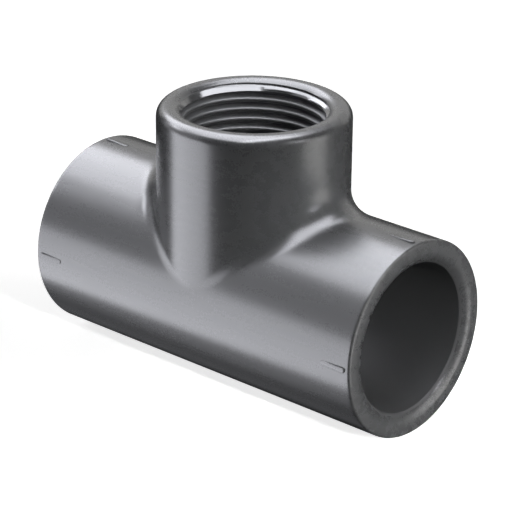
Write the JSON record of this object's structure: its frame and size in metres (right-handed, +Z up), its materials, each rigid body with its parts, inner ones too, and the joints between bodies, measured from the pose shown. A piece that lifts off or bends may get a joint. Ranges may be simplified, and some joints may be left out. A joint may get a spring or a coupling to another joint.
{
  "type": "pipe tee",
  "caption": "Moulded plastic pipe tee: two plain solvent sockets in line and one branch with a female pipe thread, standing square to them.",
  "frame": {"origin": "where the axis of the run and the axis of the branch cross, which is the point that pipe layouts are measured from", "axes": "+X along the run towards its right end, +Z up the axis of the branch, and +Y square to both, away from the picture's camera"},
  "size_m": [0.0924, 0.0448, 0.0639],
  "materials": {
    "grey_pvc": "as moulded: smooth, satin to glossy dark grey rigid PVC"
  },
  "bodies": {
    "root": {"tee_body": "grey_pvc"}
  },
  "joints": []
}
